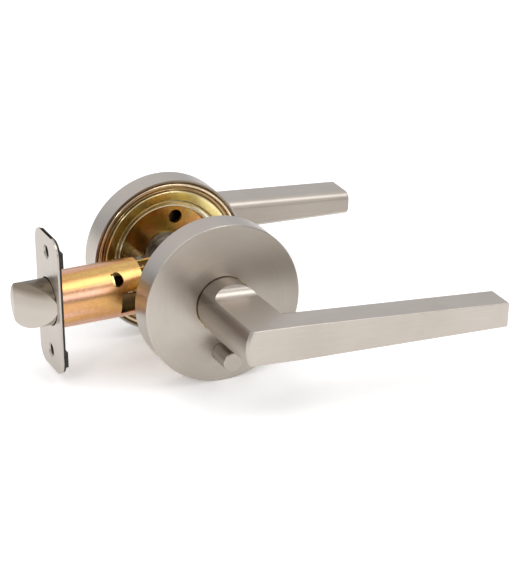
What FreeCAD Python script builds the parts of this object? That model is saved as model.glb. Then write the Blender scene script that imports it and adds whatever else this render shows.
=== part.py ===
import FreeCAD, Part
import math
import os
import re

import Sketcher

# Tubular privacy lever set for an interior door: a lever and a round rose on each face
# of the door, a spring latch in its edge, and a push pin that locks it from inside.
#
# Row frame, millimetres: the origin is on the spindle axis, half way through the door.
# +Y runs from the inside trim to the outside trim, -X towards the door's edge, +Z up.
#
# A trim piece is drawn in its own frame: y = 0 is the face of the door, the piece grows
# towards -y, and "height" below means the distance from the door's face.

SIZES = (
    # how far a cut runs past the metal that it goes through
    ("over_cut", 1.0),
    # door and the standard borings in it
    ("door_thickness", 44.0),
    ("backset", 60.65),
    ("trim_tilt", 3.7),
    # rose
    ("rose_radius", 32.7),
    ("rose_depth", 11.5),
    ("rose_wall", 0.8),
    ("rose_face", 1.0),
    ("rose_edge", 0.5),
    ("neck_gap", 0.35),
    # mounting plate: pressed rings from the rim inwards, then a sunken floor
    ("plate_wall", 1.2),
    ("plate_gap", 0.05),
    ("skirt_height", 1.6),
    ("skirt_step", 0.7),
    ("back_step", 0.2),
    ("lip_height", 0.3),
    ("lip_width", 1.2),
    ("groove_height", 1.6),
    ("groove_width", 2.2),
    ("ridge_width", 3.9),
    ("shelf_height", 1.5),
    ("shelf_width", 3.4),
    ("ring_slope", 0.5),
    ("floor_height", 5.0),
    ("ring_edge", 0.6),
    ("shelf_edge", 1.2),
    ("lug_width", 3.0),
    ("lug_clear", 1.45),
    ("lug_length", 2.0),
    ("lug_rise", 3.0),
    ("access_hole", 2.9),
    ("access_across", 4.0),
    ("access_down", 15.2),
    # hub: the shank of the lever turns in a fixed sleeve
    ("shank_radius", 7.4),
    ("shank_fit", 0.05),
    ("sleeve_wall", 0.95),
    ("sleeve_flange", 1.8),
    ("flange_wall", 0.6),
    ("axial_play", 0.2),
    ("drive_wall", 0.8),
    ("drive_lap", 2.0),
    ("finger_width", 2.6),
    ("finger_clear", 1.25),
    ("finger_length", 3.2),
    ("finger_drop", 2.5),
    ("shank_end", 3.4),
    ("ring_wall", 0.6),
    ("ring_reach", 1.6),
    ("ring_slot", 1.2),
    ("ring_fit", 0.1),
    ("ring_groove", 0.8),
    # return spring
    ("return_wire", 0.45),
    ("return_pitch", 1.0),
    ("return_turns", 1.57),
    ("return_leg", 4.0),
    ("return_gap", 0.45),
    ("leg_gap", 0.15),
    ("coil_clear", 0.05),
    # lever
    ("neck_radius", 11.35),
    ("neck_front_radius", 12.2),
    ("neck_straight", 13.0),
    ("inside_projection", 57.6),
    ("inside_reach", 102.1),
    ("outside_projection", 51.5),
    ("outside_reach", 99.2),
    ("blade_thickness", 16.4),
    ("blade_root_half", 7.08),
    ("blade_tip_half", 5.07),
    ("blade_back_round", 3.5),
    ("blade_edge", 0.45),
    ("side_radius", 16.0),
    ("side_lean", 0.95),
    ("side_edge", 1.5),
    ("scoop_height", 24.8),
    ("scoop_radius", 4.3),
    # spindle and set screws
    ("spindle_half", 3.5),
    ("spindle_fit", 0.1),
    ("spindle_reach", 16.0),
    ("spindle_edge", 0.4),
    ("screw_height", 14.5),
    ("screw_radius", 2.0),
    ("screw_fit", 0.05),
    ("screw_key", 1.1),
    ("screw_key_depth", 2.0),
    ("screw_sink", 0.9),
    # through bolts and the posts they thread into
    ("bolt_head_gap", 0.6),
    ("bolt_radius", 2.1),
    ("bolt_hole_gap", 0.15),
    ("bolt_head_radius", 3.2),
    ("bolt_head_height", 1.8),
    ("bolt_slot", 0.9),
    ("post_radius", 3.0),
    ("post_length", 8.0),
    ("post_grip", 5.0),
    # push pin lock
    ("pin_radius", 4.0),
    ("pin_offset", 20.4),
    ("pin_stand", 11.5),
    ("pin_travel", 4.0),
    ("pin_fit", 0.08),
    ("pin_edge", 0.5),
    ("stem_radius", 2.5),
    ("housing_radius", 4.6),
    ("housing_wall", 0.5),
    ("housing_end", 1.0),
    ("housing_length", 16.2),
    ("clip_radius", 3.7),
    ("clip_wall", 0.6),
    ("clip_groove", 0.5),
    ("clip_gap", 0.1),
    ("pin_wire", 0.4),
    ("pin_coils", 5.0),
    ("pin_coil_gap", 0.4),
    ("stem_end", 2.0),
    ("rod_radius", 1.5),
    ("rod_gap", 0.4),
    ("rod_clear", 1.0),
    # lever travel and the latch that it draws back
    ("turn_angle", 60.0),
    ("arm_reach", 12.2),
    ("arm_tip", 1.2),
    ("arm_half", 1.0),
    ("arm_side_gap", 0.6),
    ("cam_floor_gap", 0.454),
    ("journal_step", 0.6),
    ("journal_fit", 0.05),
    ("cam_gap", 0.25),
    # faceplate and backplate, standard size with rounded corners
    ("face_width", 25.4),
    ("face_height", 57.15),
    ("face_wall", 0.8),
    ("face_corner", 6.35),
    ("face_hole", 2.4),
    ("face_sink", 0.6),
    ("face_hole_spacing", 42.0),
    ("back_inset", 0.4),
    ("back_wall", 1.0),
    ("back_hole", 2.3),
    ("pad_rise", 0.9),
    ("pad_height", 6.4),
    # latch case, its windows and its keyhole
    ("case_radius", 11.5),
    ("case_wall", 1.0),
    ("case_end", 24.0),
    ("strip_top", 7.0),
    ("strip_end", 10.4),
    ("window_length", 10.0),
    ("window_top", 2.5),
    ("window_round", 6.5),
    ("keyhole_from_end", 10.6),
    ("keyhole_rise", 7.3),
    ("keyhole_half", 2.4),
    ("keyhole_square", 2.15),
    ("frame_inset", 4.3),
    ("frame_wall", 1.0),
    ("frame_front", 17.9),
    ("frame_top_edge", 1.5),
    ("frame_floor_gap", 0.02),
    # bolt, its tail and its spring
    ("nose_slack", 1.0),
    ("nose_gap", 0.4),
    ("nose_proud", 0.5),
    ("nose_flat", 4.3),
    ("bevel_sink", 0.6),
    ("bevel_radius", 30.0),
    ("nose_edge", 0.3),
    ("nose_wall", 3.0),
    ("bore_depth", 14.0),
    ("seat_from_end", 12.5),
    ("seat_wall", 1.0),
    ("seat_fit", 0.05),
    ("rear_gap", 1.1),
    ("tail_wall", 1.0),
    ("tail_inset", 2.2),
    ("tail_lift", 0.5),
    ("tail_height", 1.7),
    ("tail_top", 11.8),
    ("bridge_wall", 2.0),
    ("bridge_gap", 0.1),
    ("flange_inset", 0.2),
    ("tail_window_gap", 0.5),
    ("latch_wire", 0.5),
    ("latch_coil_gap", 0.6),
    ("latch_coils", 9.0),
)

# Sizes that several pieces share, worked out from the ones above.
DERIVED = (
    ("half_door", "door_thickness / 2"),
    ("neck_hole", "neck_radius + neck_gap"),
    ("rim_inner", "rose_radius - rose_wall"),
    ("skirt_radius", "rim_inner - plate_gap"),
    ("lip_outer", "skirt_radius - skirt_step"),
    ("lip_inner", "lip_outer - lip_width"),
    ("ridge_outer", "lip_inner - groove_width"),
    ("ridge_inner", "ridge_outer - ridge_width"),
    ("floor_radius", "ridge_inner - shelf_width"),
    ("floor_top", "floor_height + plate_wall"),
    ("sleeve_inner", "shank_radius + shank_fit"),
    ("sleeve_outer", "sleeve_inner + sleeve_wall"),
    ("flange_outer", "sleeve_outer + sleeve_flange"),
    ("flange_top", "floor_top + flange_wall"),
    ("neck_base", "rose_depth - rose_face - axial_play"),
    ("drive_base", "neck_base - drive_wall"),
    ("sleeve_top", "drive_base - axial_play"),
    ("groove_top", "floor_height - axial_play / 2"),
    ("groove_base", "groove_top - ring_wall - ring_fit"),
    ("groove_radius", "shank_radius - ring_groove"),
    ("ring_outer", "shank_radius + ring_reach"),
    ("return_radius", "sleeve_outer + return_wire + return_gap"),
    ("return_base", "flange_top + return_wire + coil_clear"),
    ("finger_inner", "return_radius + return_wire + finger_clear"),
    ("finger_outer", "finger_inner + finger_length"),
    ("drive_radius", "finger_inner + drive_lap"),
    ("lug_inner", "return_radius + return_wire + lug_clear"),
    ("lug_outer", "lug_inner + lug_length"),
    ("bolt_pitch_radius", "flange_outer + bolt_head_radius + bolt_head_gap"),
    ("socket_half", "spindle_half + spindle_fit"),
    ("spindle_length", "door_thickness + 2 * spindle_reach"),
    ("screw_hole", "screw_radius + screw_fit"),
    ("bolt_hole", "bolt_radius + bolt_hole_gap"),
    ("post_bore", "bolt_radius + screw_fit"),
    ("post_base", "floor_height - post_length"),
    ("pin_base", "floor_top + pin_travel + rod_gap"),
    ("stem_hole", "stem_radius + pin_fit"),
    ("housing_base", "floor_top - housing_length"),
    ("clip_top", "floor_top - housing_end - clip_gap"),
    ("stem_tip", "housing_base - stem_end"),
    ("rod_tip", "rod_clear - door_thickness - floor_height"),
    ("half_turn", "turn_angle / 2"),
    ("throw", "2 * arm_reach * sin(half_turn)"),
    ("face_back", "backset - face_wall"),
    ("back_back", "face_back - back_wall"),
    ("case_inner", "case_radius - case_wall"),
    ("nose_radius", "case_inner - nose_slack"),
    ("nose_tip", "backset + throw + nose_proud"),
    ("bore_radius", "nose_radius - nose_wall"),
    ("bevel_high", "(nose_tip - backset + bevel_sink) / 2"),
    ("bevel_long", "nose_radius - nose_flat / 2"),
    ("bevel_chord", "sqrt(bevel_high ^ 2 + bevel_long ^ 2)"),
    ("bevel_rise", "sqrt(bevel_radius ^ 2 - bevel_chord ^ 2)"),
    ("tail_flange", "nose_radius - flange_inset"),
    ("tail_bore", "bore_radius - flange_inset"),
    ("latch_coil", "bore_radius - latch_wire - latch_coil_gap"),
    ("nose_hole", "nose_radius + nose_gap"),
    ("seat_front", "case_end + seat_from_end"),
    ("nose_rear", "seat_front + throw + rear_gap"),
    ("window_front", "case_end + window_length"),
    ("bridge_front", "arm_reach * sin(half_turn) - arm_tip - cam_gap"),
    ("bridge_low", "arm_reach * cos(half_turn) + bridge_gap"),
    ("frame_half", "case_inner - frame_inset"),
    ("frame_floor", "sqrt(case_inner ^ 2 - frame_half ^ 2) - frame_floor_gap"),
    ("cam_radius", "frame_floor - frame_wall - cam_floor_gap"),
    ("journal_radius", "cam_radius - journal_step"),
    ("journal_hole", "journal_radius + journal_fit"),
    ("tail_half", "frame_half - tail_inset"),
    ("arm_width", "2 * (tail_half - tail_wall - arm_side_gap)"),
    ("tail_low", "journal_radius + tail_lift"),
    ("tail_high", "tail_low + tail_height"),
)

INSIDE = "inside"
OUTSIDE = "outside"

doc = FreeCAD.newDocument("lever_set")


def make_sheet():
    """Write every driving and shared size in the sheet, each under its own word."""
    sheet = doc.addObject("Spreadsheet::Sheet", "Sizes")
    names = [name for name, _ in SIZES + DERIVED]
    word = re.compile(r"\b(" + "|".join(names) + r")\b")
    cell_of = {name: "B%d" % (row + 1) for row, name in enumerate(names)}
    for row, (name, content) in enumerate(SIZES + DERIVED):
        sheet.set("A%d" % (row + 1), name)
        if isinstance(content, str):
            content = "=" + word.sub(lambda found: cell_of[found.group(1)], content)
        sheet.set(cell_of[name], str(content))
        sheet.setAlias(cell_of[name], name)
    doc.recompute()
    return sheet, word


sheet, size_word = make_sheet()


def size(name):
    """The present value of one size."""
    return float(sheet.get(name))


def bind(thing, prop, formula):
    """Tie a property to a formula in the sheet's words."""
    thing.setExpression(prop, size_word.sub(r"Sizes.\1", str(formula)))


# ---------------------------------------------------------------- sketches and features

def new_body(label):
    body = doc.addObject("PartDesign::Body", label)
    body.Label = label
    return body


def new_sketch(body, plane, offset="0"):
    """A sketch on one of the body's origin planes, moved along that plane's normal."""
    sketch = body.newObject("Sketcher::SketchObject", body.Label + "_sketch")
    face = [item for item in body.Origin.OriginFeatures if item.Role == plane][0]
    sketch.AttachmentSupport = [(face, "")]
    sketch.MapMode = "FlatFace"
    bind(sketch, "AttachmentOffset.Base.z", offset)
    return sketch


def hold(sketch, kind, where, formula, start):
    """Constrain one value of the sketch to a formula."""
    index = sketch.addConstraint(Sketcher.Constraint(kind, *where, start))
    bind(sketch, "Constraints[%d]" % index, formula)


def draw_outline(sketch, points):
    """A closed outline of straight lines through points given as pairs of formulas."""
    count = len(points)
    turn = [2 * math.pi * step / count for step in range(count)]
    corner = [FreeCAD.Vector(10 * math.cos(a), 10 * math.sin(a), 0) for a in turn]
    lines = []
    for step in range(count):
        line = Part.LineSegment(corner[step], corner[(step + 1) % count])
        lines.append(sketch.addGeometry(line, False))
    for step in range(count):
        after = lines[(step + 1) % count]
        sketch.addConstraint(Sketcher.Constraint("Coincident", lines[step], 2, after, 1))
    for step, (across, along) in enumerate(points):
        hold(sketch, "DistanceX", (lines[step], 1), across, corner[step].x)
        hold(sketch, "DistanceY", (lines[step], 1), along, corner[step].y)


def draw_circle(sketch, across, along, radius):
    circle = Part.Circle(FreeCAD.Vector(1, 1, 0), FreeCAD.Vector(0, 0, 1), 1)
    index = sketch.addGeometry(circle, False)
    hold(sketch, "Radius", (index,), radius, 1.0)
    hold(sketch, "DistanceX", (index, 3), across, 1.0)
    hold(sketch, "DistanceY", (index, 3), along, 1.0)


def draw_corner(sketch, across, along, radius):
    """What a round of this radius takes off a lower right corner."""
    full = Part.Circle(FreeCAD.Vector(-5, 5, 0), FreeCAD.Vector(0, 0, 1), 5)
    arc = sketch.addGeometry(Part.ArcOfCircle(full, -math.pi / 2, 0), False)
    low = Part.LineSegment(FreeCAD.Vector(-5, 0, 0), FreeCAD.Vector(0, 0, 0))
    low = sketch.addGeometry(low, False)
    side = Part.LineSegment(FreeCAD.Vector(0, 0, 0), FreeCAD.Vector(0, 5, 0))
    side = sketch.addGeometry(side, False)
    for first, first_end, second, second_end in ((arc, 1, low, 1), (low, 2, side, 1),
                                                 (side, 2, arc, 2)):
        sketch.addConstraint(Sketcher.Constraint("Coincident", first, first_end,
                                                 second, second_end))
    hold(sketch, "DistanceX", (arc, 3), "%s - %s" % (across, radius), -5.0)
    hold(sketch, "DistanceY", (arc, 3), "%s + %s" % (along, radius), 5.0)
    hold(sketch, "DistanceX", (low, 1), "%s - %s" % (across, radius), -5.0)
    hold(sketch, "DistanceY", (low, 1), along, 0.0)
    hold(sketch, "DistanceX", (low, 2), across, 0.0)
    hold(sketch, "DistanceY", (low, 2), along, 0.0)
    hold(sketch, "DistanceY", (side, 2), "%s + %s" % (along, radius), 5.0)


def box_points(left, right, low, high):
    return [(left, low), (right, low), (right, high), (left, high)]


def revolve(body, sketch, points, axis="V_Axis", kind="PartDesign::Revolution"):
    """Turn an outline about one of its sketch's own axes."""
    draw_outline(sketch, points)
    feature = body.newObject(kind, body.Label + "_turned")
    feature.Profile = sketch
    feature.ReferenceAxis = (sketch, [axis])
    feature.Angle = 360
    doc.recompute()


def turned(body, profile, lift="0"):
    """Turn a profile of (radius, height) pairs about the trim's axis, or one beside it."""
    points = [(radius, "-(%s)" % height) for radius, height in profile]
    revolve(body, new_sketch(body, "XY_Plane", lift), points)


def extrude(body, kind, sketch, length, reverse, both):
    feature = body.newObject(kind, body.Label + "_" + kind.split("::")[1].lower())
    feature.Profile = sketch
    feature.Reversed = reverse
    if both:
        feature.SideType = "Symmetric"
    bind(feature, "Length", length)
    before = body.Shape.Volume if not body.Shape.isNull() else 0.0
    doc.recompute()
    if abs(feature.Shape.Volume - before) < 1e-6:
        raise RuntimeError(body.Label + ": a feature changed nothing")
    return feature


def pad(body, sketch, length, reverse=False, both=False):
    return extrude(body, "PartDesign::Pad", sketch, length, reverse, both)


def cut(body, sketch, length, reverse=False, both=False):
    return extrude(body, "PartDesign::Pocket", sketch, length, reverse, both)


def round_edges(body, radius, wanted, kind="PartDesign::Fillet"):
    """Round, or chamfer, every edge of the body that the test picks."""
    doc.recompute()
    base = body.Tip
    picked = []
    for number, edge in enumerate(base.Shape.Edges, 1):
        if wanted(edge):
            picked.append("Edge%d" % number)
    if not picked:
        raise RuntimeError(body.Label + ": no edge to round")
    feature = body.newObject(kind, body.Label + "_edge")
    feature.Base = (base, picked)
    prop = "Radius" if kind.endswith("Fillet") else "Size"
    bind(feature, prop, radius)
    doc.recompute()
    return feature


def near(first, second, gap=1e-4):
    return abs(first - second) < gap


def is_ring(edge, radius):
    """Whether an edge is a full circle of this radius."""
    curve = edge.Curve
    return isinstance(curve, Part.Circle) and near(curve.Radius, radius)


def along_axis(edge, axis):
    """Whether a straight edge runs along the axis with this number."""
    if not isinstance(edge.Curve, Part.Line):
        return False
    step = edge.lastVertex().Point - edge.firstVertex().Point
    return near(abs(step[axis]), step.Length)


# ------------------------------------------------------------------------- placements

def tilt():
    return FreeCAD.Rotation(FreeCAD.Vector(0, 1, 0), size("trim_tilt"))


def place_on_trim(thing, side):
    """Seat a trim piece on its face of the door; the outside one is turned over."""
    turn = tilt()
    base = FreeCAD.Vector(0, -size("half_door"), 0)
    if side == OUTSIDE:
        turn = turn.multiply(FreeCAD.Rotation(FreeCAD.Vector(1, 0, 0), 180))
        base = -base
    thing.Placement = FreeCAD.Placement(base, turn)


def down(side):
    """Sign of the row's -Z in a trim piece's own frame."""
    return "-1" if side == INSIDE else "1"


# ------------------------------------------------------------------------- trim pieces

def make_rose(side):
    """Round cover: a shallow cup with a hole for the neck."""
    body = new_body(side + "_rose")
    turned(body, [
        ("neck_hole", "rose_depth"),
        ("rose_radius", "rose_depth"),
        ("rose_radius", "0"),
        ("rim_inner", "0"),
        ("rim_inner", "rose_depth - rose_face"),
        ("neck_hole", "rose_depth - rose_face"),
    ])
    sketch = new_sketch(body, "XZ_Plane", "rose_depth")
    hole = "pin_radius + pin_fit" if side == INSIDE else "rod_radius + rod_gap"
    draw_circle(sketch, "0", down(side) + " * pin_offset", hole)
    cut(body, sketch, "rose_face + over_cut")
    radius = size("rose_radius")
    front = -size("rose_depth")
    round_edges(body, "rose_edge",
                lambda edge: is_ring(edge, radius) and near(edge.CenterOfMass.y, front))
    place_on_trim(body, side)


def make_mounting_plate(side):
    """Pressed steel plate: a skirt in the rose's rim, rings, and a sunken floor."""
    body = new_body(side + "_mounting_plate")
    turned(body, [
        ("sleeve_outer + plate_gap", "floor_height"),
        ("floor_radius", "floor_height"),
        ("floor_radius + ring_slope", "shelf_height"),
        ("ridge_inner - ring_slope", "shelf_height"),
        ("ridge_inner", "lip_height"),
        ("ridge_outer", "lip_height"),
        ("ridge_outer + ring_slope", "groove_height"),
        ("lip_inner - ring_slope", "groove_height"),
        ("lip_inner", "lip_height"),
        ("lip_outer", "lip_height"),
        ("lip_outer", "skirt_height"),
        ("skirt_radius", "skirt_height"),
        ("skirt_radius", "groove_height + plate_wall + back_step"),
        ("ridge_outer", "groove_height + plate_wall + back_step"),
        ("ridge_outer - ring_slope", "lip_height + plate_wall"),
        ("ridge_inner + ring_slope", "lip_height + plate_wall"),
        ("ridge_inner", "shelf_height + plate_wall"),
        ("floor_radius + 3 * ring_slope", "shelf_height + plate_wall"),
        ("floor_radius + 2 * ring_slope", "floor_top"),
        ("sleeve_outer + plate_gap", "floor_top"),
    ])
    ring_heights = [-size("lip_height"), -size("shelf_height"), -size("groove_height")]
    brink = size("floor_radius") + size("ring_slope")
    rim = size("lip_outer") + 1e-4
    round_edges(body, "shelf_edge", lambda edge: is_ring(edge, brink)
                and near(edge.CenterOfMass.y, -size("shelf_height")))
    round_edges(body, "ring_edge", lambda edge: isinstance(edge.Curve, Part.Circle)
                and any(near(edge.CenterOfMass.y, height) for height in ring_heights)
                and brink + size("shelf_edge") < edge.Curve.Radius < rim)
    lug = new_sketch(body, "XZ_Plane", "floor_top - plate_gap")
    up = "-(%s)" % down(side)
    draw_outline(lug, box_points("-lug_width / 2", "lug_width / 2",
                                 up + " * lug_inner", up + " * lug_outer"))
    pad(body, lug, "lug_rise + plate_gap")
    holes = new_sketch(body, "XZ_Plane", "0")
    draw_circle(holes, "bolt_pitch_radius", "0", "bolt_hole")
    draw_circle(holes, "-bolt_pitch_radius", "0", "bolt_hole")
    draw_circle(holes, "access_across", "-access_down", "access_hole")
    lock_hole = "housing_radius + plate_gap" if side == INSIDE else "rod_radius + rod_gap"
    draw_circle(holes, "0", down(side) + " * pin_offset", lock_hole)
    cut(body, holes, "rose_depth", reverse=True)
    place_on_trim(body, side)


def make_hub_sleeve(side):
    """Fixed bearing sleeve that the lever's shank turns in."""
    body = new_body(side + "_hub_sleeve")
    turned(body, [
        ("sleeve_inner", "floor_height"),
        ("sleeve_outer", "floor_height"),
        ("sleeve_outer", "floor_top"),
        ("flange_outer", "floor_top"),
        ("flange_outer", "flange_top"),
        ("sleeve_outer", "flange_top"),
        ("sleeve_outer", "sleeve_top"),
        ("sleeve_inner", "sleeve_top"),
    ])
    place_on_trim(body, side)


def make_drive_plate(side):
    """Disc fixed to the shank; its finger pushes the return spring's free leg."""
    body = new_body(side + "_drive_plate")
    turned(body, [
        ("shank_radius", "drive_base"),
        ("drive_radius", "drive_base"),
        ("drive_radius", "neck_base"),
        ("shank_radius", "neck_base"),
    ])
    finger = new_sketch(body, "XZ_Plane", "drive_base - finger_drop")
    draw_outline(finger, box_points("-finger_width / 2", "finger_width / 2",
                                    down(side) + " * finger_inner",
                                    down(side) + " * finger_outer"))
    pad(body, finger, "finger_drop + drive_wall")
    place_on_trim(body, side)


def make_retaining_ring(side):
    """Snap ring in the shank's groove, behind the sleeve."""
    body = new_body(side + "_retaining_ring")
    turned(body, [
        ("groove_radius", "groove_base + ring_fit / 2"),
        ("ring_outer", "groove_base + ring_fit / 2"),
        ("ring_outer", "groove_base + ring_fit / 2 + ring_wall"),
        ("groove_radius", "groove_base + ring_fit / 2 + ring_wall"),
    ])
    slot = new_sketch(body, "XZ_Plane", "0")
    draw_outline(slot, box_points("-ring_slot", "ring_slot", "0", "ring_outer + over_cut"))
    cut(body, slot, "rose_depth", reverse=True)
    place_on_trim(body, side)


def coil(label, radius, pitch, height, wire):
    """A round wire wound on a helix about its own Z axis, from z = 0, in half turns."""
    helix = doc.addObject("Part::Helix", label + "_helix")
    helix.SegmentLength = 0.5
    bind(helix, "Radius", radius)
    bind(helix, "Pitch", pitch)
    bind(helix, "Height", height)
    ring = doc.addObject("Part::Circle", label + "_wire")
    bind(ring, "Radius", wire)
    bind(ring, "Placement.Base.x", radius)
    ring.Placement.Rotation = FreeCAD.Rotation(FreeCAD.Vector(1, 0, 0), 90)
    swept = doc.addObject("Part::Sweep", label)
    swept.Sections = [ring]
    doc.recompute()
    swept.Spine = (helix, ["Edge%d" % (step + 1) for step in range(len(helix.Shape.Edges))])
    swept.Solid = True
    swept.Frenet = True
    return swept


def make_return_spring(side):
    """Torsion spring round the sleeve, with a leg at the lug and one at the finger."""
    label = side + "_return_spring"
    spring = coil(label + "_coil", "return_radius", "return_pitch",
                  "return_pitch * return_turns", "return_wire")
    legs = [spring]
    for name, angle, height in (("free", "0", "0"),
                                ("fixed", "360 * return_turns", "return_pitch * return_turns")):
        leg = doc.addObject("Part::Cylinder", label + "_" + name)
        bind(leg, "Radius", "return_wire")
        bind(leg, "Height", "return_leg")
        bind(leg, "Placement.Base.x", "return_radius * cos(%s)" % angle)
        bind(leg, "Placement.Base.y", "return_radius * sin(%s)" % angle)
        bind(leg, "Placement.Base.z", height)
        doc.recompute()
        outward = FreeCAD.Vector(leg.Placement.Base.x, leg.Placement.Base.y, 0)
        leg.Placement.Rotation = FreeCAD.Rotation(FreeCAD.Vector(0, 0, 1), outward)
        legs.append(leg)
    whole = doc.addObject("Part::MultiFuse", label)
    whole.Label = label
    whole.Shapes = legs
    doc.recompute()
    # the coil's own axis turns to the trim's -y, and its free leg stands by the finger
    beside = size("finger_width") / 2 + size("return_wire") + size("leg_gap")
    lean = math.degrees(math.asin(beside / size("finger_inner")))
    stand = FreeCAD.Rotation(FreeCAD.Vector(1, 0, 0), 90)
    spin = FreeCAD.Rotation(FreeCAD.Vector(0, 1, 0), 90 + lean)
    if side == OUTSIDE:
        spin = FreeCAD.Rotation(FreeCAD.Vector(0, 1, 0), -90 - lean)
    place_on_trim(whole, side)
    lift = FreeCAD.Placement(FreeCAD.Vector(0, -size("return_base"), 0), spin.multiply(stand))
    whole.Placement = whole.Placement.multiply(lift)


def make_lever(side):
    """Flat tapered blade on a round neck with flats, and the shank behind it."""
    body = new_body(side + "_lever")
    front, reach = side + "_projection", side + "_reach"
    turned(body, [
        ("0", "shank_end"),
        ("shank_radius", "shank_end"),
        ("shank_radius", "groove_base"),
        ("groove_radius", "groove_base"),
        ("groove_radius", "groove_top"),
        ("shank_radius", "groove_top"),
        ("shank_radius", "neck_base"),
        ("neck_radius", "neck_base"),
        ("neck_radius", "neck_straight"),
        ("neck_front_radius", front),
        ("0", front),
    ])
    cut_neck_side(body, front)
    blade = new_sketch(body, "XZ_Plane", front + " - blade_thickness")
    draw_outline(blade, [
        ("0", "blade_root_half"),
        ("0", "-blade_root_half"),
        ("neck_front_radius", "-blade_root_half"),
        (reach, "-blade_tip_half"),
        (reach, "blade_tip_half"),
        ("neck_front_radius", "blade_root_half"),
    ])
    pad(body, blade, "blade_thickness")
    back = size("blade_thickness") - size(front)
    root = size("neck_front_radius")
    round_edges(body, "blade_back_round", lambda edge: near(edge.CenterOfMass.y, back)
                and edge.CenterOfMass.x > root + 1 and edge.Length > root
                and not along_axis(edge, 2))
    cut_neck_flats(body, front)
    cut_lever_bores(body, side)
    face = -size(front)
    tip = size(reach)
    round_edges(body, "blade_edge", lambda edge: near(edge.BoundBox.YMin, face)
                and near(edge.BoundBox.YMax, face) and isinstance(edge.Curve, Part.Line)
                or near(edge.BoundBox.XMin, tip) and near(edge.BoundBox.XMax, tip))
    place_on_trim(body, side)


def cut_neck_side(body, front):
    """The side away from the blade: a wider round that leans in to a soft front edge."""
    sketch = new_sketch(body, "XY_Plane")
    bind(sketch, "AttachmentOffset.Base.x", "side_radius - neck_radius")
    soft = [("side_radius - side_lean - side_edge * (1 - cos(%d))" % angle,
             "side_edge * (1 - sin(%d)) - %s" % (angle, front)) for angle in range(0, 91, 30)]
    revolve(body, sketch, [("side_radius", "-neck_straight")] + soft + [
        ("side_radius - side_lean - side_edge", "-%s - over_cut" % front),
        ("2 * side_radius", "-%s - over_cut" % front),
        ("2 * side_radius", "-neck_straight"),
    ], kind="PartDesign::Groove")


def cut_neck_flats(body, front):
    """Flats level with the blade, each starting in a round scoop, and a flat end."""
    wide = "2 * (neck_front_radius + over_cut)"
    flats = new_sketch(body, "YZ_Plane")
    scoops = new_sketch(body, "YZ_Plane")
    for sign in ("1", "-1"):
        draw_outline(flats, box_points("-%s - over_cut" % front, "-scoop_height",
                                       sign + " * blade_root_half",
                                       sign + " * (neck_front_radius + over_cut)"))
        draw_circle(scoops, "-scoop_height", sign + " * (blade_root_half + scoop_radius)",
                    "scoop_radius")
    cut(body, flats, wide, both=True)
    cut(body, scoops, wide, both=True)


def cut_lever_bores(body, side):
    """Square socket for the spindle and a hole for the set screw."""
    socket = new_sketch(body, "XZ_Plane", "0")
    draw_outline(socket, box_points("-socket_half", "socket_half",
                                    "-socket_half", "socket_half"))
    cut(body, socket, "spindle_reach + axial_play", reverse=True)
    screw = new_sketch(body, "XY_Plane")
    draw_circle(screw, "0", "-screw_height", "screw_hole")
    cut(body, screw, "neck_radius + over_cut", reverse=side == OUTSIDE)


def make_set_screw(side):
    """Headless screw with a hexagon socket, from the neck down to the spindle."""
    body = new_body(side + "_set_screw")
    sign = down(side)
    outer = sign + " * (neck_radius - screw_sink)"
    shaft = new_sketch(body, "XY_Plane", outer)
    draw_circle(shaft, "0", "-screw_height", "screw_radius")
    pad(body, shaft, "neck_radius - screw_sink - socket_half - screw_fit",
        reverse=side == OUTSIDE)
    key = new_sketch(body, "XY_Plane", outer)
    draw_outline(key, [("screw_key * cos(%d)" % angle,
                        "screw_key * sin(%d) - screw_height" % angle)
                       for angle in range(0, 360, 60)])
    cut(body, key, "screw_key_depth", reverse=side == INSIDE)
    place_on_trim(body, side)


def make_spindle():
    """Square bar through the latch into both levers."""
    body = new_body("spindle")
    sketch = new_sketch(body, "XZ_Plane")
    draw_outline(sketch, box_points("-spindle_half", "spindle_half",
                                    "-spindle_half", "spindle_half"))
    pad(body, sketch, "spindle_length", both=True)
    round_edges(body, "spindle_edge", lambda edge: along_axis(edge, 1),
                "PartDesign::Chamfer")
    body.Placement = FreeCAD.Placement(FreeCAD.Vector(), tilt())


# --------------------------------------------------------------------------- fasteners

def pitch_circles(sketch, radius):
    for sign in ("1", "-1"):
        draw_circle(sketch, sign + " * bolt_pitch_radius", "0", radius)


def make_through_bolts():
    """Two slotted screws from the inside plate into the outside plate's posts."""
    body = new_body("through_bolts")
    shank = new_sketch(body, "XZ_Plane", "post_grip - door_thickness - floor_height")
    pitch_circles(shank, "bolt_radius")
    pad(body, shank, "door_thickness + floor_height - post_grip + floor_top")
    head = new_sketch(body, "XZ_Plane", "floor_top")
    pitch_circles(head, "bolt_head_radius")
    pad(body, head, "bolt_head_height")
    slot = new_sketch(body, "XZ_Plane", "floor_top + bolt_head_height")
    for sign in ("1", "-1"):
        draw_outline(slot, box_points(sign + " * bolt_pitch_radius - bolt_slot / 2",
                                      sign + " * bolt_pitch_radius + bolt_slot / 2",
                                      "-bolt_head_radius - over_cut",
                                      "bolt_head_radius + over_cut"))
    cut(body, slot, "bolt_slot")
    place_on_trim(body, INSIDE)


def make_mounting_posts():
    """Two bored posts on the outside plate that take the through bolts."""
    body = new_body("mounting_posts")
    sketch = new_sketch(body, "XZ_Plane", "post_base")
    pitch_circles(sketch, "post_radius")
    pad(body, sketch, "post_length")
    bores = new_sketch(body, "XZ_Plane", "post_base")
    pitch_circles(bores, "post_bore")
    cut(body, bores, "post_length", reverse=True)
    place_on_trim(body, OUTSIDE)


# ----------------------------------------------------------------------- push pin lock

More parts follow.
